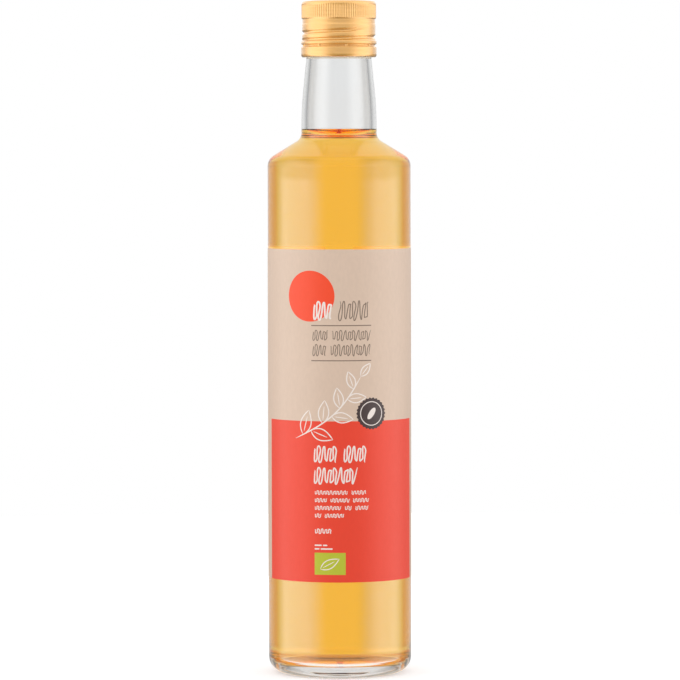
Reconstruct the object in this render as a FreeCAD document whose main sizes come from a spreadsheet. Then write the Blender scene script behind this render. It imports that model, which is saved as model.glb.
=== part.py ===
"""Round glass vinegar bottle, 500 ml, with its filling, its wrap-around label and a roll-on aluminium cap.

The origin is the centre of the ring the bottle stands on, +Z runs up the neck and -Y is the front.
"""
import FreeCAD, Part
import Sketcher
import math
import os
from FreeCAD import Placement, Rotation, Vector

doc = FreeCAD.newDocument("VinegarBottle")

# Driving dimensions: millimetres, degrees and counts. Heights run up from the level the bottle stands on.
DRIVING = [
    ("body_diameter", 60.2, "outside of the straight side"),
    ("body_height", 216.6, "up to the sharp corner between side and shoulder"),
    ("shoulder_slope", 31.5, "fall of the conical shoulder, degrees"),
    ("shoulder_round", 5.3, "round between side and shoulder"),
    ("heel_round", 6.8, "round between side and base"),
    ("bearing_width", 3.0, "flat ring the bottle stands on"),
    ("punt_height", 3.2, "rise of the hollow underside"),
    ("punt_flat_diameter", 22.0, "level middle of the hollow underside"),
    ("punt_round", 14.0, "round at the edge of that middle"),
    ("wall", 2.8, "glass of the side and the shoulder"),
    ("floor_thickness", 3.6, "glass above the hollow underside"),
    ("floor_fall", 2.5, "fall of the inner floor from its middle to the side"),
    ("inner_heel_round", 5.5, "round between inner floor and side"),
    ("inner_shoulder_round", 4.0, "round inside the shoulder"),
    ("neck_diameter", 31.7, "outside of the neck at its foot"),
    ("neck_foot_round", 4.0, "round between shoulder and neck"),
    ("inner_foot_round", 5.5, "round between shoulder and neck on the inside"),
    ("neck_straight", 12.3, "from the foot of the neck to its taper"),
    ("neck_height", 33.3, "from the foot of the neck to the finish"),
    ("blend_reach", 7.5, "how far the bend between straight and tapered neck reaches each way"),
    ("neck_wall", 2.45, "glass of the neck at its foot"),
    ("neck_step", 0.4, "how far the neck lies inside the finish under the cap"),
    ("neck_top_wall", 2.0, "glass of the neck under the cap"),
    ("finish_wall", 2.9, "glass of the finish"),
    ("bore_lead", 5.0, "length over which the neck narrows to the bore"),
    ("locking_clearance", 0.4, "between the locking bead and the tamper ring"),
    ("locking_bead_height", 1.6, "straight part of that bead"),
    ("locking_bead_flank", 1.1, "sloping part above and below it"),
    ("lip_round", 1.0, "round of the rim"),
    ("fill_above_foot", 0.3, "liquid level above the foot of the neck"),
    ("label_start", 40.6, "lower edge of the label"),
    ("label_drop", 37.4, "from the sharp corner of the shoulder down to the label"),
    ("label_thickness", 0.15, "paper with its glue"),
    ("label_gap_angle", 12.0, "bare strip at the back, degrees"),
    ("cap_diameter", 31.4, "over the knurled band"),
    ("cap_sheet", 0.3, "aluminium sheet"),
    ("cap_edge_round", 1.3, "round of the cap's top edge"),
    ("cap_step", 0.4, "height over which one band of the cap runs into the next"),
    ("knurl_height", 6.1, "height of the knurled band"),
    ("knurl_count", 96, "grooves round the band"),
    ("knurl_depth", 0.18, "depth of each groove"),
    ("knurl_groove_diameter", 0.8, "round of each groove"),
    ("waist_height", 2.3, "plain band under the knurls"),
    ("waist_depth", 0.35, "how far that band lies in"),
    ("land_height", 7.0, "band with the thread"),
    ("land_depth", 0.25, "how far that band lies in"),
    ("cap_bead_height", 1.4, "bead above the slits"),
    ("ring_proud", 0.2, "how far bead and tamper ring stand out"),
    ("slit_height", 1.2, "band with the slits"),
    ("bridge_count", 8, "bridges that hold the tamper ring"),
    ("bridge_angle", 2.6, "width of each bridge, degrees"),
    ("ring_height", 4.3, "tamper ring"),
    ("ring_curl", 0.9, "how far its lower edge turns in"),
    ("ring_curl_height", 0.9, "height of that turned edge"),
    ("thread_pitch", 3.175, "rise of the thread in one turn"),
    ("thread_turns", 1.3, "turns of the thread"),
    ("thread_width", 1.5, "width of the groove at its mouth"),
    ("thread_depth", 0.45, "depth of the groove"),
    ("thread_start_angle", 200.0, "where the thread begins, degrees from +X"),
    ("thread_lead", 0.7, "from the foot of its band up to its lower end"),
    ("thread_clearance", 0.6, "between the rolled thread and the finish"),
    ("cap_gap", 0.7, "from the top of the neck up to the cap"),
]

# Worked-out places, each a formula of the driving dimensions.
WORKED = [
    ("body_r", "Sizes.body_diameter / 2"),
    ("inner_r", "body_r - Sizes.wall"),
    ("bearing_in", "body_r - Sizes.heel_round - Sizes.bearing_width"),
    ("punt_flat_r", "Sizes.punt_flat_diameter / 2"),
    ("floor_top", "Sizes.punt_height + Sizes.floor_thickness"),
    ("floor_edge", "floor_top - Sizes.floor_fall"),
    ("neck_r", "Sizes.neck_diameter / 2"),
    ("neck_in", "neck_r - Sizes.neck_wall"),
    ("neck_foot", "Sizes.body_height + (body_r - neck_r) * tan(Sizes.shoulder_slope)"),
    ("slope_drop", "Sizes.wall / cos(Sizes.shoulder_slope)"),
    ("inner_shoulder", "Sizes.body_height + Sizes.wall * tan(Sizes.shoulder_slope) - slope_drop"),
    ("inner_foot", "inner_shoulder + (inner_r - neck_in) * tan(Sizes.shoulder_slope)"),
    ("fill_level", "neck_foot + Sizes.fill_above_foot"),
    ("taper_foot", "neck_foot + Sizes.neck_straight"),
    ("neck_top", "neck_foot + Sizes.neck_height"),
    ("bore_foot", "neck_top + Sizes.bore_lead"),
    ("label_out", "body_r + Sizes.label_thickness"),
    ("label_top", "Sizes.body_height - Sizes.label_drop"),
    ("ring_low", "neck_top + Sizes.cap_gap"),
    ("curl_top", "ring_low + Sizes.ring_curl_height"),
    ("slit_low", "ring_low + Sizes.ring_height"),
    ("ring_top", "slit_low - Sizes.cap_step"),
    ("cap_bead_low", "slit_low + Sizes.slit_height"),
    ("bead_foot", "cap_bead_low + Sizes.cap_step"),
    ("land_low", "cap_bead_low + Sizes.cap_bead_height"),
    ("bead_top", "land_low - Sizes.cap_step"),
    ("waist_low", "land_low + Sizes.land_height"),
    ("land_top", "waist_low - Sizes.cap_step"),
    ("knurl_low", "waist_low + Sizes.waist_height"),
    ("waist_top", "knurl_low - Sizes.cap_step"),
    ("cap_top", "knurl_low + Sizes.knurl_height + Sizes.cap_edge_round"),
    ("rim", "cap_top - Sizes.cap_sheet"),
    ("cap_r", "Sizes.cap_diameter / 2"),
    ("waist_r", "cap_r - Sizes.waist_depth"),
    ("land_r", "cap_r - Sizes.land_depth"),
    ("ring_r", "cap_r + Sizes.ring_proud"),
    ("curl_r", "ring_r - Sizes.ring_curl"),
    ("cap_in", "cap_r - Sizes.cap_sheet"),
    ("waist_in", "waist_r - Sizes.cap_sheet"),
    ("land_in", "land_r - Sizes.cap_sheet"),
    ("ring_in", "ring_r - Sizes.cap_sheet"),
    ("curl_in", "curl_r - Sizes.cap_sheet"),
    ("edge_round_in", "Sizes.cap_edge_round - Sizes.cap_sheet"),
    ("knurl_r", "Sizes.knurl_groove_diameter / 2"),
    ("knurl_axis", "cap_r - Sizes.knurl_depth + knurl_r"),
    ("thread_foot", "land_low + Sizes.thread_lead"),
    ("thread_mouth_low", "thread_foot - Sizes.thread_width / 2"),
    ("thread_mouth_high", "thread_foot + Sizes.thread_width / 2"),
    ("thread_floor_low", "thread_foot - Sizes.thread_width / 4"),
    ("thread_floor_high", "thread_foot + Sizes.thread_width / 4"),
    ("thread_floor_r", "land_r - Sizes.thread_depth"),
    ("thread_rib_r", "thread_floor_r - Sizes.cap_sheet"),
    ("thread_rib_low", "thread_mouth_low - Sizes.cap_sheet"),
    ("thread_rib_high", "thread_mouth_high + Sizes.cap_sheet"),
    ("thread_sheet_r", "land_r - Sizes.cap_sheet / 2"),
    ("thread_over_r", "ring_r + Sizes.ring_proud"),
    ("finish_r", "thread_rib_r - Sizes.thread_clearance"),
    ("bore_r", "finish_r - Sizes.finish_wall"),
    ("neck_top_r", "finish_r - Sizes.neck_step"),
    ("neck_top_in", "neck_top_r - Sizes.neck_top_wall"),
    ("taper_length", "neck_top - taper_foot"),
    ("neck_blend", "Sizes.blend_reach / tan(atan(abs(neck_r - neck_top_r) / taper_length) / 2)"),
    ("bore_blend", "Sizes.blend_reach / tan(atan(abs(neck_in - neck_top_in) / taper_length) / 2)"),
    ("locking_bead_r", "ring_in - Sizes.locking_clearance"),
    ("locking_low", "curl_top + Sizes.locking_bead_flank"),
    ("locking_high", "locking_low + Sizes.locking_bead_height"),
    ("flank_high", "locking_high + Sizes.locking_bead_flank"),
]


def fill_sheet(name, rows, formula):
    """Put one row per value into a new sheet: its name, its number or formula, and a note."""
    sheet = doc.addObject("Spreadsheet::Sheet", name)
    for line, row in enumerate(rows, 1):
        sheet.set("A%d" % line, row[0])
        sheet.set("B%d" % line, ("=" if formula else "") + str(row[1]))
        sheet.setAlias("B%d" % line, row[0])
        if len(row) > 2:
            sheet.set("C%d" % line, row[2])
    doc.recompute()
    return sheet


sizes = fill_sheet("Sizes", DRIVING, False)
worked = fill_sheet("Worked", WORKED, True)


def number(name):
    """The number behind a name of either sheet."""
    return float(getattr(worked if hasattr(worked, name) else sizes, name))


def cell(name):
    """The expression that binds a property to a name of either sheet."""
    return ("Worked." if hasattr(worked, name) else "Sizes.") + name


def place(name):
    """A coordinate: zero for None, else the number behind the name."""
    return number(name) if name else 0.0


def new_body(label):
    """Start the body of one piece."""
    body = doc.addObject("PartDesign::Body", label)
    body.Label = label
    return body


def origin_plane(body, role):
    """One of the body's own origin planes or axes."""
    return [item for item in body.Origin.OriginFeatures if item.Role == role][0]


def new_sketch(body, name, role):
    """Start a sketch on one of the body's own origin planes."""
    sketch = body.newObject("Sketcher::SketchObject", name)
    sketch.AttachmentSupport = (origin_plane(body, role), [""])
    sketch.MapMode = "FlatFace"
    return sketch


def round_arc(before, here, after, radius):
    """The arc of this radius that touches both sides of a corner, and whether it runs counterclockwise."""
    toward_before = (before - here).normalize()
    toward_after = (after - here).normalize()
    half = toward_before.getAngle(toward_after) / 2
    middle = (toward_before + toward_after).normalize()
    centre = here + middle * (radius / math.sin(half))
    reach = radius / math.tan(half)
    first = here + toward_before * reach - centre
    last = here + toward_after * reach - centre
    counterclockwise = toward_before.cross(toward_after).z < 0
    if not counterclockwise:
        first, last = last, first
    circle = Part.Circle(centre, Vector(0, 0, 1), radius)
    return Part.ArcOfCircle(circle, math.atan2(first.y, first.x), math.atan2(last.y, last.x)), counterclockwise


def draw_outline(sketch, corners):
    """Draw a closed outline of straight sides through the corners and bind it to the sheets.

    A corner is (radius, height) or (radius, height, round): names from the sheets, or None for zero.
    A rounded corner keeps its sharp point as construction geometry.
    """
    points = [Vector(place(corner[0]), place(corner[1]), 0) for corner in corners]
    total = len(corners)
    sides = [Part.LineSegment(points[index], points[(index + 1) % total]) for index in range(total)]
    sketch.addGeometry(sides, False)
    constraints = []
    bindings = []

    def bind(kind, arguments, name):
        bindings.append((len(constraints), name))
        constraints.append(Sketcher.Constraint(kind, *arguments, number(name)))

    def fix(geometry, end, corner):
        for axis, kind, name in ((-2, "DistanceX", corner[0]), (-1, "DistanceY", corner[1])):
            if name:
                bind(kind, (-1, 1, geometry, end), name)
            else:
                constraints.append(Sketcher.Constraint("PointOnObject", geometry, end, axis))

    for index, corner in enumerate(corners):
        side_in = (index - 1) % total
        if len(corner) < 3:
            constraints.append(Sketcher.Constraint("Coincident", side_in, 2, index, 1))
            fix(index, 1, corner)
            continue
        arc, forward = round_arc(points[side_in], points[index], points[(index + 1) % total], number(corner[2]))
        round_id = sketch.addGeometry(arc, False)
        sharp_id = sketch.addGeometry(Part.Point(points[index]), True)
        start, end = (1, 2) if forward else (2, 1)
        constraints.append(Sketcher.Constraint("Tangent", side_in, 2, round_id, start))
        constraints.append(Sketcher.Constraint("Tangent", round_id, end, index, 1))
        constraints.append(Sketcher.Constraint("PointOnObject", sharp_id, 1, side_in))
        constraints.append(Sketcher.Constraint("PointOnObject", sharp_id, 1, index))
        bind("Radius", (round_id,), corner[2])
        fix(sharp_id, 1, corner)
    sketch.addConstraint(constraints)
    for order, (index, name) in enumerate(bindings):
        tag = "%s_%d" % (name, order)
        sketch.renameConstraint(index, tag)
        sketch.setExpression("Constraints." + tag, cell(name))
    return sketch


def revolve(body, sketch, angle=None):
    """Turn an outline about its own upright axis, all the way or by a bound angle either side of its plane."""
    solid = body.newObject("PartDesign::Revolution", sketch.Name + "Turned")
    solid.Profile = sketch
    solid.ReferenceAxis = (sketch, ["V_Axis"])
    solid.Angle = 360
    if angle:
        solid.Midplane = True
        solid.setExpression("Angle", angle)
    sketch.Visibility = False
    doc.recompute()
    return solid


def cut_upward(body, sketch, height):
    """Pocket a sketch upward from its level by a bound height."""
    pocket = body.newObject("PartDesign::Pocket", sketch.Name + "Pocket")
    pocket.Profile = sketch
    pocket.Reversed = True
    pocket.setExpression("Length", height)
    doc.recompute()
    return pocket


def repeat_round(body, feature, count):
    """Repeat a feature evenly about the upright axis and make the pattern count."""
    pattern = body.newObject("PartDesign::PolarPattern", feature.Name + "Round")
    pattern.Originals = [feature]
    pattern.Axis = (origin_plane(body, "Z_Axis"), [""])
    pattern.Angle = 360
    pattern.setExpression("Occurrences", count)
    body.Tip = pattern
    doc.recompute()
    return pattern


# The cavity of the glass, from the middle of the floor up to the straight neck.
CAVITY = [
    (None, "floor_top"),
    ("punt_flat_r", "floor_top", "punt_round"),
    ("inner_r", "floor_edge", "inner_heel_round"),
    ("inner_r", "inner_shoulder", "inner_shoulder_round"),
    ("neck_in", "inner_foot", "inner_foot_round"),
]


def make_bottle():
    """The glass: hollow underside, heel, straight side, conical shoulder, tapered neck and plain finish."""
    outside = [
        (None, "punt_height"),
        ("punt_flat_r", "punt_height", "punt_round"),
        ("bearing_in", None),
        ("body_r", None, "heel_round"),
        ("body_r", "body_height", "shoulder_round"),
        ("neck_r", "neck_foot", "neck_foot_round"),
        ("neck_r", "taper_foot", "neck_blend"),
        ("neck_top_r", "neck_top"),
        ("neck_top_r", "curl_top"),
        ("locking_bead_r", "locking_low"),
        ("locking_bead_r", "locking_high"),
        ("finish_r", "flank_high"),
        ("finish_r", "rim", "lip_round"),
    ]
    bore = [
        ("bore_r", "rim", "lip_round"),
        ("bore_r", "bore_foot"),
        ("neck_top_in", "neck_top"),
        ("neck_in", "taper_foot", "bore_blend"),
    ]
    body = new_body("bottle")
    revolve(body, draw_outline(new_sketch(body, "GlassOutline", "XZ_Plane"), outside + bore + CAVITY[::-1]))
    return body


def make_vinegar():
    """The filling: the cavity up to the liquid level."""
    body = new_body("vinegar")
    neck = [("neck_in", "taper_foot"), (None, "taper_foot")]
    revolve(body, draw_outline(new_sketch(body, "FillingOutline", "XZ_Plane"), CAVITY + neck))
    level = new_sketch(body, "FillingLevel", "XY_Plane")
    level.setExpression("AttachmentOffset.Base.z", "Worked.fill_level")
    level.addGeometry(Part.Circle(Vector(), Vector(0, 0, 1), number("inner_r")), False)
    level.addConstraint(Sketcher.Constraint("Coincident", 0, 3, -1, 1))
    level.addConstraint(Sketcher.Constraint("Radius", 0, number("inner_r")))
    level.setExpression("Constraints[1]", "Worked.inner_r")
    cut_upward(body, level, "Worked.taper_foot - Worked.fill_level + Sizes.wall")
    return body


def make_label():
    """The paper label: a thin wrap on the straight side, open in a narrow strip at the back."""
    body = new_body("label")
    section = [
        ("body_r", "label_start"),
        ("label_out", "label_start"),
        ("label_out", "label_top"),
        ("body_r", "label_top"),
    ]
    sketch = draw_outline(new_sketch(body, "LabelSection", "YZ_Plane"), section)
    revolve(body, sketch, "360 - Sizes.label_gap_angle")
    body.Placement = Placement(Vector(), Rotation(Vector(0, 0, 1), 180))
    return body


def make_cap():
    """The roll-on cap: one aluminium shell from the top plate down to the turned-in tamper ring."""
    outside = [
        (None, "cap_top"),
        ("cap_r", "cap_top", "cap_edge_round"),
        ("cap_r", "knurl_low"),
        ("waist_r", "waist_top"),
        ("waist_r", "waist_low"),
        ("land_r", "land_top"),
        ("land_r", "land_low"),
        ("ring_r", "bead_top"),
        ("ring_r", "bead_foot"),
        ("land_r", "cap_bead_low"),
        ("land_r", "slit_low"),
        ("ring_r", "ring_top"),
        ("ring_r", "curl_top"),
        ("curl_r", "ring_low"),
    ]
    inside = [
        ("curl_in", "ring_low"),
        ("ring_in", "curl_top"),
        ("ring_in", "ring_top"),
        ("land_in", "slit_low"),
        ("land_in", "cap_bead_low"),
        ("ring_in", "bead_foot"),
        ("ring_in", "bead_top"),
        ("land_in", "land_low"),
        ("land_in", "land_top"),
        ("waist_in", "waist_low"),
        ("waist_in", "waist_top"),
        ("cap_in", "knurl_low"),
        ("cap_in", "rim", "edge_round_in"),
        (None, "rim"),
    ]
    body = new_body("cap")
    revolve(body, draw_outline(new_sketch(body, "CapOutline", "XZ_Plane"), outside + inside))
    roll_thread(body)
    press_knurls(body)
    cut_slits(body)
    return body


def wind(body, kind, name, section):
    """Add or cut one section along the thread's helix."""
    sketch = new_sketch(body, name, "XZ_Plane")
    sketch.AttachmentOffset = Placement(Vector(), Rotation(Vector(0, 1, 0), number("thread_start_angle")))
    draw_outline(sketch, section)
    helix = body.newObject(kind, name + "Wound")
    helix.Profile = sketch
    helix.ReferenceAxis = (origin_plane(body, "Z_Axis"), [""])
    helix.Mode = "pitch-turns-angle"
    helix.setExpression("Pitch", "Sizes.thread_pitch")
    helix.setExpression("Turns", "Sizes.thread_turns")
    sketch.Visibility = False
    doc.recompute()
    return helix


def roll_thread(body):
    """The rolled thread: a rib inside the sheet and the groove outside it."""
    rib = [
        ("thread_sheet_r", "thread_rib_low"),
        ("thread_sheet_r", "thread_rib_high"),
        ("thread_rib_r", "thread_mouth_high"),
        ("thread_rib_r", "thread_mouth_low"),
    ]
    groove = [
        ("thread_floor_r", "thread_floor_low"),
        ("land_r", "thread_mouth_low"),
        ("thread_over_r", "thread_mouth_low"),
        ("thread_over_r", "thread_mouth_high"),
        ("land_r", "thread_mouth_high"),
        ("thread_floor_r", "thread_floor_high"),
    ]
    wind(body, "PartDesign::AdditiveHelix", "ThreadRib", rib)
    wind(body, "PartDesign::SubtractiveHelix", "ThreadGroove", groove)


def press_knurls(body):
    """The knurled band: upright round grooves under the rounded edge."""
    sketch = new_sketch(body, "KnurlSection", "XY_Plane")
    sketch.setExpression("AttachmentOffset.Base.z", "Worked.knurl_low")
    centre = Vector(number("knurl_axis"), 0, 0)
    sketch.addGeometry(Part.Circle(centre, Vector(0, 0, 1), number("knurl_r")), False)
    sketch.addConstraint(Sketcher.Constraint("PointOnObject", 0, 3, -1))
    sketch.addConstraint(Sketcher.Constraint("DistanceX", -1, 1, 0, 3, number("knurl_axis")))
    sketch.addConstraint(Sketcher.Constraint("Radius", 0, number("knurl_r")))
    sketch.setExpression("Constraints[1]", "Worked.knurl_axis")
    sketch.setExpression("Constraints[2]", "Worked.knurl_r")
    sketch.Visibility = False
    repeat_round(body, cut_upward(body, sketch, "Sizes.knurl_height"), "Sizes.knurl_count")


def cut_slits(body):
    """The slits over the tamper ring, as wide as the bridges between them allow."""
    sketch = new_sketch(body, "SlitSection", "XY_Plane")
    sketch.setExpression("AttachmentOffset.Base.z", "Worked.slit_low")
    inner = number("curl_in")
    outer = number("thread_over_r")
    angle = math.radians(360 / number("bridge_count") - number("bridge_angle"))
    tip_in = Vector(inner * math.cos(angle), inner * math.sin(angle), 0)
    tip_out = Vector(outer * math.cos(angle), outer * math.sin(angle), 0)
    sketch.addGeometry(Part.ArcOfCircle(Part.Circle(Vector(), Vector(0, 0, 1), inner), 0, angle), False)
    sketch.addGeometry(Part.ArcOfCircle(Part.Circle(Vector(), Vector(0, 0, 1), outer), 0, angle), False)
    sketch.addGeometry(Part.LineSegment(Vector(inner, 0, 0), Vector(outer, 0, 0)), False)
    sketch.addGeometry(Part.LineSegment(tip_in, tip_out), False)
    sketch.addConstraint([
        Sketcher.Constraint("Coincident", 0, 3, -1, 1),
        Sketcher.Constraint("Coincident", 1, 3, -1, 1),
        Sketcher.Constraint("Coincident", 0, 1, 2, 1),
        Sketcher.Constraint("Coincident", 1, 1, 2, 2),
        Sketcher.Constraint("Coincident", 0, 2, 3, 1),
        Sketcher.Constraint("Coincident", 1, 2, 3, 2),
        Sketcher.Constraint("PointOnObject", 2, 1, -1),
        Sketcher.Constraint("PointOnObject", 2, 2, -1),
        Sketcher.Constraint("PointOnObject", -1, 1, 3),
        Sketcher.Constraint("Radius", 0, inner),
        Sketcher.Constraint("Radius", 1, outer),
        Sketcher.Constraint("Angle", 2, 1, 3, 1, angle),
    ])
    sketch.setExpression("Constraints[9]", "Worked.curl_in")
    sketch.setExpression("Constraints[10]", "Worked.thread_over_r")
    sketch.setExpression("Constraints[11]", "360 deg / Sizes.bridge_count - Sizes.bridge_angle * 1 deg")
    sketch.Visibility = False
    repeat_round(body, cut_upward(body, sketch, "Sizes.slit_height"), "Sizes.bridge_count")


pieces = [make_bottle(), make_vinegar(), make_label(), make_cap()]
doc.recompute()

for item in doc.Objects:
    if "Invalid" in item.State or "Error" in item.State:
        raise RuntimeError("%s failed to compute: %s" % (item.Label, item.State))
os.makedirs("parts", exist_ok=True)
for piece in pieces:
    if piece.Shape.isNull() or not piece.Shape.isValid() or len(piece.Shape.Solids) != 1:
        raise RuntimeError("%s is not one sound solid" % piece.Label)
for piece in pieces:
    piece.Shape.exportStep("parts/%s.step" % piece.Label)
    box = piece.Shape.BoundBox
    print("%-8s %9.1f mm3  x %.2f..%.2f  y %.2f..%.2f  z %.2f..%.2f" % (
        piece.Label, piece.Shape.Volume, box.XMin, box.XMax, box.YMin, box.YMax, box.ZMin, box.ZMax))
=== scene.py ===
# A 500 ml round glass bottle of vinegar: clear glass, amber filling, rolled gold cap and printed paper wrap.
# Lengths in the tables are millimetres unless noted; every mesh is written in metres, in the model's frame.
import math

import bmesh
import bpy
import numpy as np
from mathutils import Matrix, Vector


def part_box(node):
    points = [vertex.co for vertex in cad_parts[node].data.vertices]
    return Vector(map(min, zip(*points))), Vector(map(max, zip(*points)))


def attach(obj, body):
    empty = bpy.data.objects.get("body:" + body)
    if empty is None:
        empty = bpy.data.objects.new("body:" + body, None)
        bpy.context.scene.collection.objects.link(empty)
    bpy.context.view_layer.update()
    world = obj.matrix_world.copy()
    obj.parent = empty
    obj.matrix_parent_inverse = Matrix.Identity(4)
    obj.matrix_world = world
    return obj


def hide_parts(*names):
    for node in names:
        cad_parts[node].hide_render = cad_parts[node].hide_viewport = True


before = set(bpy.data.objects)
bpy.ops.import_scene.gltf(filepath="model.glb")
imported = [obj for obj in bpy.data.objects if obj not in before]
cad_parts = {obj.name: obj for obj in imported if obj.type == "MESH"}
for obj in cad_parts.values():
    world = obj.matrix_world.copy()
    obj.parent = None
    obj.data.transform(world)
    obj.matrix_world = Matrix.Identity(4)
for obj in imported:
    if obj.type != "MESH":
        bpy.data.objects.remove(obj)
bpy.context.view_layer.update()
mm = 0.001  # metres in a millimetre
mergeWithin = 1e-7  # metres between points that are one
noiseMiddle = (0.3, 0.7)  # where nearly all values of a noise texture lie


def inMillimetres(node):
    # lowest and highest corner of a node, in millimetres
    low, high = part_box(node)
    return np.array(low) / mm, np.array(high) / mm


glassHigh = inMillimetres("bottle")[1]
fillHigh = inMillimetres("vinegar")[1]
labelLow, labelHigh = inMillimetres("label")
capLow, capHigh = inMillimetres("cap")
bodyRadius = glassHigh[0]
innerRadius = fillHigh[0]
rim = glassHigh[2]
print("frame: body radius", round(bodyRadius, 2), "rim", round(rim, 2), "cap top", round(capHigh[2], 2))


def roundedOutline(corners, stepAngle):
    # a path of (radius, height) through the corners; a corner with a third number is replaced by the arc of
    # that radius touching both of its sides: centre on the bisector, radius / sin(half the angle) away
    path = []
    for index, corner in enumerate(corners):
        here = np.array(corner[:2], float)
        if len(corner) < 3 or index in (0, len(corners) - 1):
            path.append(here[None])
            continue
        toBefore = np.array(corners[index - 1][:2], float) - here
        toAfter = np.array(corners[index + 1][:2], float) - here
        toBefore /= np.linalg.norm(toBefore)
        toAfter /= np.linalg.norm(toAfter)
        half = math.acos(np.clip(toBefore @ toAfter, -1, 1)) / 2
        middle = (toBefore + toAfter) / np.linalg.norm(toBefore + toAfter)
        centre = here + middle * corner[2] / math.sin(half)
        first = here + toBefore * corner[2] / math.tan(half) - centre
        last = here + toAfter * corner[2] / math.tan(half) - centre
        start = math.atan2(first[1], first[0])
        sweep = (math.atan2(last[1], last[0]) - start + math.pi) % (2 * math.pi) - math.pi
        steps = max(3, int(abs(math.degrees(sweep)) / stepAngle))
        angles = start + sweep * np.linspace(0, 1, steps + 1)
        path.append(centre + corner[2] * np.stack([np.cos(angles), np.sin(angles)], 1))
    return np.concatenate(path)


def splitLong(path, longest):
    # the same path with every side longer than the limit cut into equal shorter ones
    pieces = []
    for start, end in zip(path[:-1], path[1:]):
        count = max(1, int(np.ceil(np.linalg.norm(end - start) / longest)))
        pieces.append(start + (end - start) * (np.arange(count) / count)[:, None])
    return np.concatenate(pieces + [path[-1:]])


def gridFaces(rows, columns, wrapRows=False, wrapColumns=False):
    # quads between neighbouring points of a rows by columns grid, closed round where asked
    down = np.arange(rows if wrapRows else rows - 1)
    across = np.arange(columns if wrapColumns else columns - 1)
    a, b = np.meshgrid(down, across, indexing="ij")
    nextRow, nextColumn = (a + 1) % rows, (b + 1) % columns
    corners = [a * columns + b, a * columns + nextColumn,
               nextRow * columns + nextColumn, nextRow * columns + b]
    return np.stack(corners, -1).reshape(-1, 4)


def faceValues(mesh, field, width, kind=np.float32):
    # one value or vector of every face as an array
    values = np.empty(len(mesh.polygons) * width, kind)
    mesh.polygons.foreach_get(field, values)
    return values.reshape(-1, width).astype(float)


def makePiece(name, points, faces, material, smooth=True, outward=False):
    # one mesh object of its points in millimetres; poles and seams are merged, and the faces turned
    # outward where asked
    mesh = bpy.data.meshes.new(name)
    mesh.from_pydata((points.reshape(-1, 3) * mm).tolist(), [], faces.tolist())
    mesh.validate()
    piece = bpy.data.objects.new(name, mesh)
    bpy.context.scene.collection.objects.link(piece)
    shape = bmesh.new()
    shape.from_mesh(mesh)
    bmesh.ops.remove_doubles(shape, verts=shape.verts, dist=mergeWithin)
    if outward:
        bmesh.ops.recalc_face_normals(shape, faces=shape.faces)
    shape.to_mesh(mesh)
    shape.free()
    mesh.polygons.foreach_set("use_smooth", np.full(len(mesh.polygons), smooth))
    mesh.materials.append(material)
    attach(piece, "root")
    print("made", name, int(np.sum(faceValues(mesh, "loop_total", 1, np.int32) - 2)), "triangles")
    return piece


def turned(name, outline, segments, material):
    # an outline of (radius, height) turned about the upright axis: (r cos a, r sin a, h)
    angles = 2 * np.pi * np.arange(segments) / segments
    radius, height = outline[:, :1], outline[:, 1:]
    points = np.stack([radius * np.cos(angles), radius * np.sin(angles), height + 0 * angles], -1)
    faces = gridFaces(len(outline), segments, wrapColumns=True)
    return makePiece(name, points, faces, material, outward=True)


def newMaterial(name):
    # an empty node material with a Principled shader; returns the material, its nodes, links and shader
    material = bpy.data.materials.new(name)
    material.use_nodes = True
    nodes, links = material.node_tree.nodes, material.node_tree.links
    return material, nodes, links, nodes["Principled BSDF"]


def addNoise(nodes, links, scale, detail=3.0, stretch=(1, 1, 1)):
    # noise on object coordinates, stretched per axis; scale is in cells per metre
    place = nodes.new("ShaderNodeTexCoord")
    mapping = nodes.new("ShaderNodeMapping")
    mapping.inputs["Scale"].default_value = stretch
    noise = nodes.new("ShaderNodeTexNoise")
    noise.inputs["Scale"].default_value = scale
    noise.inputs["Detail"].default_value = detail
    links.new(place.outputs["Object"], mapping.inputs["Vector"])
    links.new(mapping.outputs["Vector"], noise.inputs["Vector"])
    return noise


def addMath(nodes, links, operation, *values):
    # one maths node: numbers are set on its sockets and sources are linked
    node = nodes.new("ShaderNodeMath")
    node.operation = operation
    for socket, value in zip(node.inputs, values):
        if isinstance(value, (int, float)):
            socket.default_value = value
        else:
            links.new(value, socket)
    return node.outputs[0]


def addRange(nodes, links, source, low, high):
    # the middle range of a noise mapped in a straight line to low..high
    spread = nodes.new("ShaderNodeMapRange")
    spread.inputs["From Min"].default_value = noiseMiddle[0]
    spread.inputs["From Max"].default_value = noiseMiddle[1]
    spread.inputs["To Min"].default_value = low
    spread.inputs["To Max"].default_value = high
    links.new(source, spread.inputs["Value"])
    return spread.outputs["Result"]


def addBump(nodes, links, shader, source, strength, depth):
    # a bump of the given depth in metres from a height source
    bump = nodes.new("ShaderNodeBump")
    bump.inputs["Strength"].default_value = strength
    bump.inputs["Distance"].default_value = depth
    links.new(source, bump.inputs["Height"])
    links.new(bump.outputs["Normal"], shader.inputs["Normal"])


def mixColours(nodes, links, factor, first, second):
    # a blend of two colours by a 0..1 source
    mix = nodes.new("ShaderNodeMix")
    mix.data_type = "RGBA"
    mix.inputs[6].default_value = (*first, 1)
    mix.inputs[7].default_value = (*second, 1)
    links.new(factor, mix.inputs[0])
    return mix.outputs[2]


def fromScreen(red, green, blue):
    # a screen colour of 0..255 as the linear colour a shader takes: ((c + 0.055) / 1.055) to the power 2.4,
    # and c / 12.92 for the darkest
    screen = np.array([red, green, blue]) / 255
    linear = np.where(screen <= 0.04045, screen / 12.92, ((screen + 0.055) / 1.055) ** 2.4)
    return tuple(float(part) for part in linear)


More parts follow.
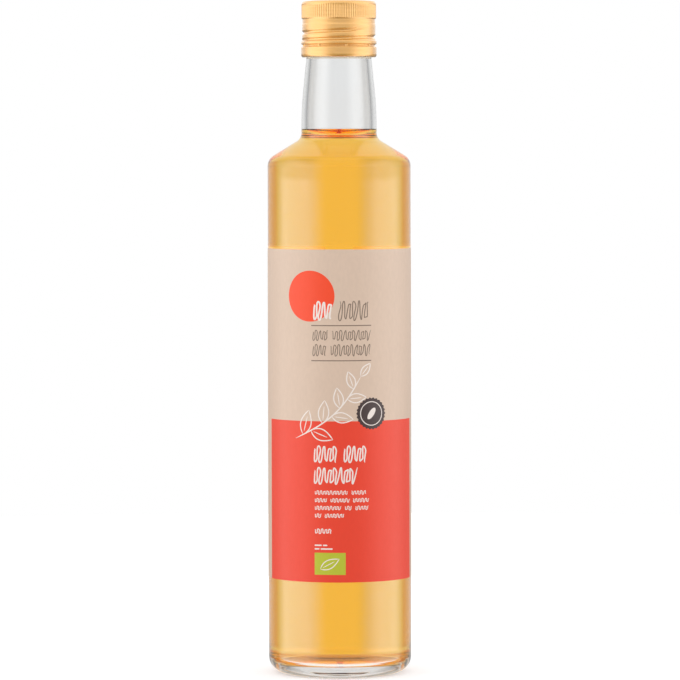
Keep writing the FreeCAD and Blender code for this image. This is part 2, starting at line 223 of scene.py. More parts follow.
glassLook = {
    "ior": 1.5, "tint": (0.985, 0.992, 0.988),
    "waveScale": 26.0, "waveDetail": 1.5, "waveStretch": (1, 1, 0.4),
    "waveStrength": 0.25, "waveDepth": 0.00003,
}


def makeGlassMaterial():
    # clear flint glass with the faint long waves of a moulded wall
    material, nodes, links, shader = newMaterial("clearGlass")
    shader.inputs["Base Color"].default_value = (*glassLook["tint"], 1)
    shader.inputs["Roughness"].default_value = 0.0
    shader.inputs["IOR"].default_value = glassLook["ior"]
    shader.inputs["Transmission Weight"].default_value = 1.0
    noise = addNoise(nodes, links, glassLook["waveScale"], glassLook["waveDetail"], glassLook["waveStretch"])
    addBump(nodes, links, shader, noise.outputs["Fac"], glassLook["waveStrength"], glassLook["waveDepth"])
    return material


# perMetre is what the filling takes from red, green and blue light in a metre; headroom keeps the colour of
# the strongest part above 0
vinegarLook = {
    "ior": 1.34, "perMetre": (0.8, 12.7, 61.0), "headroom": 1.01,
    "waveScale": 18.0, "waveDetail": 1.0, "waveStrength": 0.1, "waveDepth": 0.00002,
}


def makeVinegarMaterial():
    # clear amber liquid: its colour comes from absorption along the way through it
    material, nodes, links, shader = newMaterial("amberVinegar")
    shader.inputs["Base Color"].default_value = (1, 1, 1, 1)
    shader.inputs["Roughness"].default_value = 0.0
    shader.inputs["IOR"].default_value = vinegarLook["ior"]
    shader.inputs["Transmission Weight"].default_value = 1.0
    noise = addNoise(nodes, links, vinegarLook["waveScale"], vinegarLook["waveDetail"])
    addBump(nodes, links, shader, noise.outputs["Fac"], vinegarLook["waveStrength"], vinegarLook["waveDepth"])
    absorption = nodes.new("ShaderNodeVolumeAbsorption")
    density = max(vinegarLook["perMetre"]) * vinegarLook["headroom"]
    absorption.inputs["Color"].default_value = (*[1 - part / density for part in vinegarLook["perMetre"]], 1)
    absorption.inputs["Density"].default_value = density
    links.new(absorption.outputs["Volume"], nodes["Material Output"].inputs["Volume"])
    return material


paperLook = {
    "specular": 0.6, "fibreScale": 900.0, "fibreDetail": 4.0, "fibreStretch": (1, 1, 0.45), "fibreShare": 0.7,
    "cloudScale": 60.0, "cloudDetail": 2.0, "cloudShare": 0.6, "bump": 0.15, "bumpDepth": 0.00002,
}
# screen colour, what its darker flecks keep of it, and the lowest and highest roughness
inks = {
    "beigePaper": ((226, 199, 177), 0.94, (0.34, 0.42)),
    "coralInk": ((244, 60, 24), 0.96, (0.36, 0.44)),
    "orangeInk": ((255, 70, 12), 0.96, (0.36, 0.44)),
    "whiteInk": ((250, 238, 230), 0.97, (0.34, 0.42)),
    "greyBrownInk": ((136, 116, 100), 0.93, (0.34, 0.42)),
    "darkBrownInk": ((60, 38, 36), 0.9, (0.34, 0.42)),
    "limeInk": ((194, 200, 40), 0.95, (0.34, 0.42)),
}


def makePaperMaterial(name):
    # coated paper or ink on it: short fibres lighten and darken the colour and break up the gloss
    screen, shade, roughness = inks[name]
    look, colour = paperLook, fromScreen(*screen)
    material, nodes, links, shader = newMaterial(name)
    shader.inputs["Specular IOR Level"].default_value = look["specular"]
    fibres = addNoise(nodes, links, look["fibreScale"], look["fibreDetail"], look["fibreStretch"])
    clouds = addNoise(nodes, links, look["cloudScale"], look["cloudDetail"])
    flecks = addRange(nodes, links, fibres.outputs["Fac"], 0.0, look["fibreShare"])
    factor = addMath(nodes, links, "MULTIPLY_ADD", clouds.outputs["Fac"], look["cloudShare"], flecks)
    darker = tuple(part * shade for part in colour)
    links.new(mixColours(nodes, links, factor, colour, darker), shader.inputs["Base Color"])
    links.new(addRange(nodes, links, fibres.outputs["Fac"], *roughness), shader.inputs["Roughness"])
    addBump(nodes, links, shader, fibres.outputs["Fac"], look["bump"], look["bumpDepth"])
    return material


paperBack = {
    "colour": (0.86, 0.78, 0.66), "shade": 0.93, "roughness": 0.7, "glow": 1.0,
    "fibreScale": 500.0, "fibreDetail": 3.0, "fibreStretch": (1, 1, 0.5),
}


def makePaperBackMaterial():
    # the pale back of the paper; it glows at the level of a lit sheet, because glass and filling keep the
    # studio's light from it
    material, nodes, links, shader = newMaterial("paperBack")
    look = paperBack
    fibres = addNoise(nodes, links, look["fibreScale"], look["fibreDetail"], look["fibreStretch"])
    flecks = addRange(nodes, links, fibres.outputs["Fac"], 0.0, 1.0)
    darker = tuple(part * look["shade"] for part in look["colour"])
    links.new(mixColours(nodes, links, flecks, look["colour"], darker), shader.inputs["Base Color"])
    shader.inputs["Roughness"].default_value = look["roughness"]
    shader.inputs["Emission Color"].default_value = (*look["colour"], 1)
    shader.inputs["Emission Strength"].default_value = look["glow"]
    return material


capLook = {
    "colour": (0.84, 0.45, 0.10), "deeper": (0.76, 0.385, 0.07), "roughness": (0.32, 0.42), "metallic": 0.6,
    "coatRoughness": 0.15, "coatIor": 1.8,
    "markScale": 500.0, "markDetail": 3.0, "markStretch": (0.15, 0.15, 3.0),
    "bump": 0.12, "bumpDepth": 0.00002,
}
capInside = {
    "colour": (0.86, 0.76, 0.62), "shade": 0.9, "roughness": 0.5, "glow": 0.5, "scale": 400.0, "detail": 2.0,
}


def makeCapMaterial():
    # gold lacquer on aluminium with fine marks round it from rolling
    material, nodes, links, shader = newMaterial("goldLacquer")
    look = capLook
    shader.inputs["Metallic"].default_value = look["metallic"]
    shader.inputs["Coat Weight"].default_value = 1.0
    shader.inputs["Coat Roughness"].default_value = look["coatRoughness"]
    shader.inputs["Coat IOR"].default_value = look["coatIor"]
    marks = addNoise(nodes, links, look["markScale"], look["markDetail"], look["markStretch"])
    streaks = addRange(nodes, links, marks.outputs["Fac"], 0.0, 1.0)
    links.new(mixColours(nodes, links, streaks, look["colour"], look["deeper"]), shader.inputs["Base Color"])
    links.new(addRange(nodes, links, marks.outputs["Fac"], *look["roughness"]), shader.inputs["Roughness"])
    addBump(nodes, links, shader, marks.outputs["Fac"], look["bump"], look["bumpDepth"])
    return material


def makeCapInsideMaterial():
    # the pale inside of the cap; it glows at half the level of a lit sheet, because no light reaches it
    material, nodes, links, shader = newMaterial("capInside")
    look = capInside
    marks = addNoise(nodes, links, look["scale"], look["detail"])
    clouds = addRange(nodes, links, marks.outputs["Fac"], 0.0, 1.0)
    darker = tuple(part * look["shade"] for part in look["colour"])
    links.new(mixColours(nodes, links, clouds, look["colour"], darker), shader.inputs["Base Color"])
    shader.inputs["Roughness"].default_value = look["roughness"]
    shader.inputs["Emission Color"].default_value = (*look["colour"], 1)
    shader.inputs["Emission Strength"].default_value = look["glow"]
    return material


bottle = {
    "heelRound": 6.8, "bearingWidth": 3.0, "puntHeight": 3.2, "puntFlat": 11.0, "puntRound": 14.0,
    "shoulderSlope": 31.5, "shoulderCorner": 216.6, "shoulderRound": 5.3,
    "neckFoot": 15.85, "neckFootRound": 4.0, "neckStraight": 12.3, "neckHeight": 33.3, "neckBlend": 147.0,
    "neckTop": 13.7, "finish": 14.1, "lipRound": 1.0,
    "beadLow": 261.33, "beadHigh": 262.93, "beadFlank": 1.1, "bead": 15.2,
    "floorTop": 6.8, "floorFall": 2.5, "innerHeelRound": 5.5, "innerShoulderRound": 4.0,
    "neckInner": 13.4, "innerFootRound": 5.5, "neckTopInner": 11.7, "bore": 11.2, "boreLead": 5.0,
    "bearingRound": 0.8, "neckTopRound": 2.0, "beadRound": 0.4, "boreRound": 6.0,
    "segments": 250, "arcStep": 3.0, "longest": 6.0,  # faces round, degrees per step of an arc, longest side
}


def shoulderLine(radius, corner):
    # height on the cone that passes the corner (radius, height) and rises inward
    return corner[1] + (corner[0] - radius) * math.tan(math.radians(bottle["shoulderSlope"]))


wall = bodyRadius - innerRadius
outerCorner = (bodyRadius, bottle["shoulderCorner"])
neckFootHeight = shoulderLine(bottle["neckFoot"], outerCorner)
taperFoot = neckFootHeight + bottle["neckStraight"]
neckTop = neckFootHeight + bottle["neckHeight"]
slopeDrop = wall / math.cos(math.radians(bottle["shoulderSlope"]))
innerCorner = (innerRadius, shoulderLine(innerRadius, outerCorner) - slopeDrop)
innerFoot = shoulderLine(bottle["neckInner"], innerCorner)


def glassOutside():
    # outline of the glass from the middle of its hollow underside up to the rim
    part = bottle
    return [
        (0, part["puntHeight"]),
        (part["puntFlat"], part["puntHeight"], part["puntRound"]),
        (bodyRadius - part["heelRound"] - part["bearingWidth"], 0, part["bearingRound"]),
        (bodyRadius, 0, part["heelRound"]),
        (bodyRadius, part["shoulderCorner"], part["shoulderRound"]),
        (part["neckFoot"], neckFootHeight, part["neckFootRound"]),
        (part["neckFoot"], taperFoot, part["neckBlend"]),
        (part["neckTop"], neckTop, part["neckTopRound"]),
        (part["neckTop"], part["beadLow"] - part["beadFlank"], part["beadRound"]),
        (part["bead"], part["beadLow"], part["beadRound"]),
        (part["bead"], part["beadHigh"], part["beadRound"]),
        (part["finish"], part["beadHigh"] + part["beadFlank"], part["beadRound"]),
        (part["finish"], rim, part["lipRound"]),
    ]


def glassInside(grow=0.0):
    # outline of the cavity from the floor's middle up to the straight neck, grown into the glass where asked
    part = bottle
    return [
        (0, part["floorTop"] - grow),
        (part["puntFlat"], part["floorTop"] - grow, part["puntRound"] + grow),
        (innerRadius + grow, part["floorTop"] - part["floorFall"] - grow, part["innerHeelRound"] + grow),
        (innerRadius + grow, innerCorner[1], part["innerShoulderRound"] + grow),
        (part["neckInner"] + grow, innerFoot, part["innerFootRound"] - grow),
    ]


def makeBottle(material):
    # the outside, the bore and the cavity as one closed outline, turned about the upright axis
    part = bottle
    bore = [
        (part["bore"], rim, part["lipRound"]),
        (part["bore"], neckTop + part["boreLead"], part["boreRound"]),
        (part["neckTopInner"], neckTop, part["boreRound"]),
        (part["neckInner"], taperFoot, part["neckBlend"]),
    ]
    outline = roundedOutline(glassOutside() + bore + glassInside()[::-1], part["arcStep"])
    piece = turned("bottleGlass", splitLong(outline, part["longest"]), part["segments"], material)
    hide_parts("bottle")
    return piece


# the height the liquid climbs at the glass, its capillary length, how far it reaches into the wall, and how
# far below the top of its edge the wall's outline stops
filling = {"climb": 3.6, "capillary": 2.7, "reach": 0.06, "edgeGap": 0.05}


def meniscus(wallRadius, level):
    # the curve of a liquid drawn up a wetted wall: for each height h the distance from the wall is
    # a (acosh(2a/h) - acosh(2a/c) - sqrt(4 - h2/a2) + sqrt(4 - c2/a2)), a the capillary length, c the climb
    a, climb = filling["capillary"], filling["climb"]
    height = climb * np.concatenate([[1, 0.985, 0.96, 0.93], np.geomspace(0.89, 0.008, 26)])
    away = a * (np.arccosh(2 * a / height) - np.arccosh(2 * a / climb)
                - np.sqrt(4 - height ** 2 / a ** 2) + np.sqrt(4 - climb ** 2 / a ** 2))
    kept = away < wallRadius * 0.97
    return np.stack([wallRadius - away[kept], level + height[kept]], 1)


def makeVinegar(material):
    # the cavity's outline up to the wetted edge, closed by the curved surface, turned about the upright axis
    reach, level = filling["reach"], fillHigh[2]
    corners = glassInside(reach) + [(bottle["neckInner"] + reach, taperFoot)]
    inside = roundedOutline(corners, bottle["arcStep"])
    below = inside[inside[:, 1] < level + filling["climb"] - filling["edgeGap"]]
    top = meniscus(bottle["neckInner"] + reach, level)
    outline = np.concatenate([below, top, [[0, level]]])
    piece = turned("vinegarFilling", splitLong(outline, bottle["longest"]), bottle["segments"], material)
    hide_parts("vinegar")
    return piece


cap = {
    "radius": 15.7, "sheet": 0.3, "topRound": 1.3, "topFlatGap": 0.4,
    "knurlLow": 275.53, "knurlHigh": 281.5, "knurls": 96, "perKnurl": 7,
    "knurlDepth": 0.18, "knurlSharp": 1.4, "knurlLead": 0.1, "knurlFade": 0.35,
    "waist": 15.33, "waistLow": 273.23, "land": 15.45, "landLow": 266.23,
    "bead": 15.9, "beadLow": 264.83, "slitLow": 263.63, "step": 0.35,
    "slitFoot": 263.9, "slitTop": 264.6, "slitDepth": 0.5, "slitFade": 0.14,
    "bridges": 8, "bridgeWidth": 0.75, "bridgeTurn": 12.0, "bridgeFade": 0.12,
    "ring": 15.9, "ringCurl": 15.0, "curlHeight": 1.1, "curlLip": 0.15, "threadInner": 14.6,
    "rowSteps": (0.35, 0.18, 0.17, 0.09, 0.4), "rowLead": 0.4, "ringLead": 0.5,
    "topPoints": 9, "curlPoints": 7,
}
thread = {
    "pitch": 3.175, "startTurn": 175.0, "endTurn": 677.0, "startHeight": 266.26, "depth": 0.64,
    "width": 0.62, "startFade": 25.0, "endPast": 12.0, "endFade": 40.0,
    "endRise": 1.5, "riseBefore": 35.0, "riseOver": 45.0, "laps": 3,
}


def smoothStep(x):
    # 0 below 0, 1 above 1, 3x2 - 2x3 between
    x = np.clip(x, 0, 1)
    return x * x * (3 - 2 * x)


def capHeights():
    # heights of the grid's rows down the outside, closer together where the outline turns
    part = cap
    knots = [capHigh[2] - part["topRound"], part["knurlLow"] + part["rowLead"], part["waistLow"],
             part["landLow"] - part["rowLead"], part["slitLow"] - part["ringLead"],
             capLow[2] + part["curlHeight"]]
    rows = [np.arange(high, low, -step) for high, low, step in zip(knots, knots[1:], part["rowSteps"])]
    return np.concatenate(rows + [knots[-1:]])


def capRadius(turn, height):
    # the rolled wall: plain bands joined by soft steps, less the knurls, the thread and the slits
    part = cap
    radius = np.full_like(height, part["radius"])
    bands = [("knurlLow", "waist"), ("waistLow", "land"), ("landLow", "bead"), ("beadLow", "land"),
             ("slitLow", "ring")]
    for top, value in bands:
        below = smoothStep((part[top] - height) / part["step"] + 0.5)
        radius = radius + (part[value] - radius) * below
    knurlZone = smoothStep((height - part["knurlLow"] - part["knurlLead"]) / part["knurlFade"])
    knurlZone = knurlZone * smoothStep((part["knurlHigh"] - height) / part["knurlFade"])
    valley = (0.5 + 0.5 * np.cos(np.radians(turn) * part["knurls"])) ** part["knurlSharp"]
    radius = radius - part["knurlDepth"] * valley * knurlZone
    radius = radius - threadDepth(turn, height)
    slitZone = smoothStep((part["slitTop"] - height) / part["slitFade"])
    slitZone = slitZone * smoothStep((height - part["slitFoot"]) / part["slitFade"])
    spacing = 360 / part["bridges"]
    aside = np.abs((turn - 270 - part["bridgeTurn"] + spacing / 2) % spacing - spacing / 2)
    aside = np.radians(aside) * part["land"]
    bridge = 1 - smoothStep((aside - part["bridgeWidth"] / 2) / part["bridgeFade"] + 0.5)
    return radius - part["slitDepth"] * slitZone * (1 - bridge)


def threadDepth(turn, height):
    # depth of the rolled groove: a bell across its helix, fading in and out at its ends, where the upper
    # end also lifts away from the helix
    part = thread
    depth = np.zeros_like(height)
    for lap in range(part["laps"]):
        total = turn + 360 * lap
        along = smoothStep((total - part["startTurn"]) / part["startFade"])
        along = along * smoothStep((part["endTurn"] + part["endPast"] - total) / part["endFade"])
        centre = part["startHeight"] + part["pitch"] * (total - part["startTurn"]) / 360
        rise = smoothStep((total - part["endTurn"] + part["riseBefore"]) / part["riseOver"])
        centre = centre + part["endRise"] * rise
        depth = np.maximum(depth, along * np.exp(-((height - centre) / part["width"]) ** 4))
    return part["depth"] * depth


def makeCap(material):
    # rings of points from the middle of the top down the outside, round the curled edge and up the inside
    part, sheet = cap, cap["sheet"]
    segments = part["perKnurl"] * part["knurls"]
    turn = 360 * np.arange(segments) / segments
    heights = capHeights()
    turnGrid, heightGrid = np.meshgrid(turn, heights)
    wallRadius = capRadius(turnGrid, heightGrid)
    topArc = np.radians(np.linspace(90, 0, part["topPoints"])[:-1])
    topEdge = [(0, capHigh[2]), (part["radius"] - part["topRound"] - part["topFlatGap"], capHigh[2])]
    topEdge += [(part["radius"] - part["topRound"] * (1 - math.cos(a)),
                 capHigh[2] - part["topRound"] * (1 - math.sin(a))) for a in topArc]
    curlArc = np.radians(np.linspace(0, 90, part["curlPoints"])[1:])
    curl = [(part["ringCurl"] + (part["ring"] - part["ringCurl"]) * math.cos(a),
             capLow[2] + part["curlHeight"] * (1 - math.sin(a))) for a in curlArc]
    curl += [(part["ringCurl"] - sheet, capLow[2] + part["curlLip"])]
    # small offsets keep the sheet's thickness where the wall steps in or out
    inside = [
        (part["ring"] - sheet, capLow[2] + 0.9), (part["ring"] - sheet, part["slitLow"] - part["ringLead"]),
        (part["threadInner"], part["slitLow"] + 0.3), (part["threadInner"], part["waistLow"] - 0.8),
        (part["waist"] - sheet, part["waistLow"] - 0.3), (part["radius"] - sheet, part["knurlLow"] + 0.5),
        (part["radius"] - sheet, rim - 1.0), (part["radius"] - sheet - 1.0, rim), (0, rim),
    ]

    def rings(outline):
        # radii and heights of an outline, the same all round
        outline = np.array(outline, float)
        return (np.repeat(outline[:, :1], segments, 1), np.repeat(outline[:, 1:], segments, 1))

    parts = [rings(topEdge), (wallRadius, heightGrid), rings(curl), rings(inside)]
    radius = np.concatenate([p[0] for p in parts])
    height = np.concatenate([p[1] for p in parts])
    angle = np.radians(turn)[None]
    points = np.stack([radius * np.cos(angle), radius * np.sin(angle), height], -1)
    faces = gridFaces(len(radius), segments, wrapColumns=True)
    piece = makePiece("rolledCap", points, faces, material, outward=True)
    piece.data.materials.append(makeCapInsideMaterial())
    middle, normal = faceValues(piece.data, "center", 3), faceValues(piece.data, "normal", 3)
    inward = middle[:, 0] * normal[:, 0] + middle[:, 1] * normal[:, 1] < -1e-6  # faces the axis
    ceiling = (normal[:, 2] < -0.7) & (middle[:, 2] > (rim - 0.5) * mm)  # faces down under the top
    piece.data.polygons.foreach_set("material_index", (inward | ceiling).astype(np.int32))
    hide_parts("cap")
    return piece


label = {
    "inner": bodyRadius - 0.04, "outer": bodyRadius + 0.09, "inkLow": bodyRadius + 0.08, "inkStep": 0.015,
    "halfTurn": 174.0, "columns": 349, "rows": 12, "backReach": 0.035, "acrossStep": 0.9, "upStep": 8.0,
}


# how print is drawn: points along each shape, tapers as a share of the line, and the unevenness of words as
# a level, a swing and a pace
pen = {
    "barEndPoints": 5, "discGrid": 21, "lobedGrid": 33, "ringPoints": 72, "legPoints": 12, "leafPoints": 17,
    "thinnest": 0.01, "taper": 0.25, "blunt": 0.04, "wordTaper": 0.04, "leafTaper": 0.12, "stemTaper": 0.15,
    "reach": (0.82, 0.18, 1.7), "slant": (0.04, 0.05, 0.63), "leafSkew": 0.85, "rib": (2, 13), "ribLine": 0.8,
}


def slab(across, up, low, high, wrap=False):
    # a thin closed plate on the wall from a grid of flat places: across in millimetres round the wall from
    # the middle of the front, up in millimetres; its two faces lie at the radii low and high
    rows, columns = across.shape
    turn = across / bodyRadius - math.pi / 2
    faces = gridFaces(rows, columns, wrapRows=wrap)
    layers = [np.stack([r * np.cos(turn), r * np.sin(turn), up], -1).reshape(-1, 3) for r in (low, high)]
    count = rows * columns
    index = np.arange(count).reshape(rows, columns)
    if wrap:
        edges = [np.append(index[:, 0], index[0, 0])[::-1], np.append(index[:, -1], index[0, -1])]
    else:
        edges = [np.concatenate([index[0, :-1], index[:-1, -1], index[-1, :0:-1], index[:, 0][::-1]])]
    sides = [np.stack([e[:-1], e[1:], e[1:] + count, e[:-1] + count], 1) for e in edges]
    return np.concatenate(layers), np.concatenate([faces[:, ::-1], faces + count] + sides)


def barPatch(left, right, middle, height, corner=None):
    # a bar with rounded ends: the half height falls as a quarter circle towards each end
    corner = min(height / 2, (right - left) / 2) if corner is None else corner
    quarter = np.radians(np.linspace(0, 90, pen["barEndPoints"]))
    ends = corner * (1 - np.cos(quarter))
    count = max(2, int((right - left - 2 * corner) / label["acrossStep"]) + 1)
    straight = np.linspace(left + corner, right - corner, count)
    across = np.concatenate([left + ends[:-1], straight, right - ends[:-1][::-1]])
    fall = corner * (1 - np.sin(quarter[:-1]))
    drop = np.concatenate([fall, np.zeros(count), fall[::-1]])
    half = np.maximum(height / 2 - drop, pen["thinnest"])
    side = np.linspace(-1, 1, max(2, int(height / 2) + 2))
    return across[:, None] + 0 * side[None], middle + half[:, None] * side[None], False


def discPatch(centre, radius, lobes=0, lobeDepth=0.0, squash=1.0, tilt=0.0):
    # a filled disc, or a scalloped one: a square grid pressed into a circle, times 1 + depth cos(lobes angle)
    side = np.linspace(-1, 1, pen["lobedGrid"] if lobes else pen["discGrid"])
    x, y = np.meshgrid(side, side, indexing="ij")
    u, v = x * np.sqrt(1 - y * y / 2), y * np.sqrt(1 - x * x / 2)
    reach = np.sqrt(u * u + v * v)
    scale = radius * (1 + lobeDepth * np.cos(lobes * np.arctan2(v, u)) * reach ** 4)
    u, v = u * scale, v * scale * squash
    c, s = math.cos(math.radians(tilt)), math.sin(math.radians(tilt))
    return centre[0] + c * u - s * v, centre[1] + s * u + c * v, False


def ringPatch(centre, radius, width):
    # a circle line of constant width
    angle = np.linspace(0, 2 * np.pi, pen["ringPoints"] + 1)[:-1][:, None]
    reach = radius + width * np.array([[0.5, -0.5]])
    return centre[0] + reach * np.cos(angle), centre[1] + reach * np.sin(angle), True


def strokePatch(path, width, taper=pen["taper"]):
    # a pen line along a path: its half width swells from the ends as the square root of the way in
    step = np.gradient(path, axis=0)
    aside = np.stack([-step[:, 1], step[:, 0]], 1) / np.linalg.norm(step, axis=1, keepdims=True)
    way = np.linspace(0, 1, len(path))
    swell = np.sqrt(np.clip(np.minimum(way, 1 - way) / taper, pen["blunt"], 1))
    half = (width / 2 * swell)[:, None, None] * np.array([[[1.0], [-1.0]]])
    points = path[:, None] + aside[:, None] * half
    return points[..., 0], points[..., 1], False


def scribblePatch(left, right, low, high, legs, line):
    # a word as one pen line that runs up and down: phase p, height sign(sin p) sqrt|sin p| times an uneven
    # reach, going across by p - sin(2p)/2, so that it turns round at the top and bottom of each leg
    level, swing, pace = pen["reach"]
    slantLevel, slantSwing, slantPace = pen["slant"]
    phase = np.pi * (np.linspace(0, legs, legs * pen["legPoints"] + 1) + 0.5)
    across = phase - np.sin(2 * phase) / 2
    across = left + (right - left) * (across - across[0]) / (across[-1] - across[0])
    wave = np.sign(np.sin(phase)) * np.sqrt(np.abs(np.sin(phase)))
    reach = (high - low) / 2 * (level + swing * np.sin(pace * phase + left))
    slant = (high - low) * (slantLevel + slantSwing * np.sin(slantPace * phase + left))
    path = np.stack([across + slant * wave, (low + high) / 2 + reach * wave], 1)
    return strokePatch(path, line, pen["wordTaper"])


def leafStrokes(base, angle, length, width, line):
    # an outlined leaf: two sides bowed as sin(pi t) about its midrib, and the midrib itself
    t = np.linspace(0, 1, pen["leafPoints"])
    along = np.array([math.cos(math.radians(angle)), math.sin(math.radians(angle))])
    aside = np.array([-along[1], along[0]])
    bow = np.sin(np.pi * t ** pen["leafSkew"]) * width / 2
    middle = np.array(base) + along * (t * length)[:, None]
    sides = [middle + aside * bow[:, None], middle - aside * bow[:, None]]
    rib = strokePatch(middle[slice(*pen["rib"])], line * pen["ribLine"])
    return [strokePatch(side, line, pen["leafTaper"]) for side in sides] + [rib]


def makeInk(name, patches, layer, material):
    # one mesh of all the patches printed with one ink
    low = label["inkLow"]
    high = label["outer"] + label["inkStep"] * layer
    points, faces, start = [], [], 0
    for across, up, wrap in patches:
        patchPoints, patchFaces = slab(across, up, low, high, wrap)
        points.append(patchPoints)
        faces.append(patchFaces + start)
        start += len(patchPoints)
    points, faces = np.concatenate(points), np.concatenate(faces)
    piece = makePiece(name, points, faces, material, smooth=False, outward=True)
    return piece


def makeLabelSheet(material):
    # the paper wrap, open in a narrow strip at the back
    turn = np.linspace(-label["halfTurn"], label["halfTurn"], label["columns"])
    up = np.linspace(labelLow[2], labelHigh[2], label["rows"])
    across, upGrid = np.meshgrid(np.radians(turn) * bodyRadius, up, indexing="ij")
    points, faces = slab(across, upGrid, label["inner"], label["outer"])
    piece = makePiece("labelPaper", points, faces, material, smooth=False, outward=True)
    piece.data.materials.append(makePaperBackMaterial())
    radius = np.hypot(*faceValues(piece.data, "center", 3)[:, :2].T) / mm
    inside = radius < label["inner"] + label["backReach"]
    piece.data.polygons.foreach_set("material_index", inside.astype(np.int32))
    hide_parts("label")
    return piece


def fieldPatch(left, right, low, high):
    # a plain rectangle of colour
    across = np.linspace(left, right, max(2, int((right - left) / label["acrossStep"])))
    up = np.linspace(low, high, max(2, int((high - low) / label["upStep"])))
    return (*np.meshgrid(across, up, indexing="ij"), False)


# places on the flat label: millimetres round the wall from the middle of the front, and heights. Fields have
# left, right, low and high; discs a middle and a radius; bars and rules left, right, height and thickness
layout = {
    "field": (-37.4, 40.2, labelLow[2], 107.8),
    "disc": ((-12.6, 159.8), 10.6),
    "seal": ((13.7, 110.9), 6.5), "sealLobes": (26, 0.035),
    "sealRing": (4.9, 0.35), "sealMark": (2.8, 0.42, 55),
    "greenField": (-10.7, 2.4, 43.8, 53.0), "greenLeaf": ((-8.15, 46.2), 28, 9.0, 3.6, 0.4),
    "rules": [(-12.0, 13.6, 147.6, 0.42), (-12.0, 13.6, 133.0, 0.42)], "ruleRound": 0.12,
    # words: left, right, low, high, legs and line of the pen
    "greyWords": [(-0.4, 12.4, 149.6, 158.0, 12, 0.42), (-11.6, -4.8, 141.3, 145.7, 8, 0.36),
                  (-3.1, 13.2, 141.3, 145.7, 18, 0.36), (-11.6, -5.6, 134.9, 139.8, 7, 0.36),
                  (-3.9, 13.2, 134.9, 139.8, 19, 0.36)],
    "discWord": (-11.3, -3.2, 149.8, 157.6, 7, 0.72),
    "headWords": [(-11.2, -1.0, 90.6, 97.6, 9, 0.6), (1.4, 11.4, 90.6, 97.6, 9, 0.6),
                  (-11.2, 7.1, 81.6, 88.6, 16, 0.6)],
    "smallWords": [(-10.7, 3.4, 77.3, 78.9, 20, 0.34), (4.8, 11.2, 77.3, 78.9, 9, 0.34),
                   (-10.7, -5.3, 74.1, 75.7, 8, 0.34), (-4.0, 4.1, 74.1, 75.7, 12, 0.34),
                   (5.4, 12.4, 74.1, 75.7, 10, 0.34), (-10.7, 0.6, 70.9, 72.5, 16, 0.34),
                   (2.0, 5.0, 70.9, 72.5, 4, 0.34), (6.4, 12.2, 70.9, 72.5, 8, 0.34),
                   (-10.7, -7.7, 67.7, 69.3, 4, 0.34), (-6.4, 1.8, 67.7, 69.3, 12, 0.34),
                   (-10.7, -3.4, 61.0, 63.0, 9, 0.4)],
    "tinyBars": [(-10.7, -7.6, 56.1, 0.6), (-7.1, -5.2, 56.1, 0.6),
                 (-10.7, -8.6, 54.6, 0.6), (-8.1, -3.0, 54.6, 0.6)],
}


sprig = {
    "foot": (-19.5, 100.5), "tip": (9.0, 126.5), "bow": 4.0, "points": 41, "line": 0.55, "leafLine": 0.85,
    "leaf": 11.0, "leafShrink": 3.8, "leafWidth": 0.46, "leafTurn": 50,
    "leafPlaces": (0.10, 0.22, 0.36, 0.48, 0.62, 0.74, 0.87),
    "tipTurn": 52, "tipLeaf": 0.62, "tipWidth": 0.28,
}


def sprigPatches():
    # a leafy sprig drawn in one line weight: a rising stem, bowed as sin(pi t), with leaves on both sides
    part = sprig
    t = np.linspace(0, 1, part["points"])
    foot, tip = np.array(part["foot"]), np.array(part["tip"])
    away = np.array([tip[1] - foot[1], foot[0] - tip[0]]) / np.linalg.norm(tip - foot)
    stem = foot + (tip - foot) * t[:, None] + away * (part["bow"] * np.sin(np.pi * t))[:, None]
    line, leaf = part["line"] * part["leafLine"], part["leaf"]
    patches = [strokePatch(stem, part["line"], pen["stemTaper"])]
    for order, way in enumerate(part["leafPlaces"]):
        place = int(way * (part["points"] - 1))
        heading = math.degrees(math.atan2(*(stem[place + 1] - stem[place])[::-1]))
        side = -1 if order % 2 else 1
        length = leaf - part["leafShrink"] * way
        turn = heading + side * part["leafTurn"]
        patches += leafStrokes(stem[place], turn, length, length * part["leafWidth"], line)
    length, width = leaf * part["tipLeaf"], leaf * part["tipWidth"]
    return patches + leafStrokes(stem[-1], part["tipTurn"], length, width, line)


# small print on the back: blocks have left, right, top and bottom, and fill is the share of the width that
# each line between two gaps takes
backPrint = {
    "blocks": [(46.0, 84.0, 173, 118), (-84.0, -46.0, 173, 122), (46.0, 84.0, 100, 62)],
    "fill": (0.96, 0.88, 1.0, 0.93, 0.72, 0.98, 0.9), "lineStep": 2.9, "line": 0.72,
    "split": 0.31, "splitStep": 0.07, "halfGap": 0.4, "ruleDrop": 4.5, "rule": 0.3, "ruleRound": 0.1,
}


def backPatches():
    # ragged lines of two words in blocks, one line left out after each run, and a thin rule below each block
    part = backPrint
    lines, rules = [], []
    run = len(part["fill"]) + 1
    for left, right, top, bottom in part["blocks"]:
        for order, row in enumerate(np.arange(top, bottom, -part["lineStep"])):
            if order % run == run - 1:
                continue
            stop = left + (right - left) * part["fill"][order % run]
            split = left + (stop - left) * (part["split"] + part["splitStep"] * ((order * 5) % 4))
            words = ((left, split - part["halfGap"]), (split + part["halfGap"], stop))
            lines += [barPatch(*word, row, part["line"]) for word in words]
        rules.append(barPatch(left, right, bottom - part["ruleDrop"], part["rule"], part["ruleRound"]))
    return lines, rules


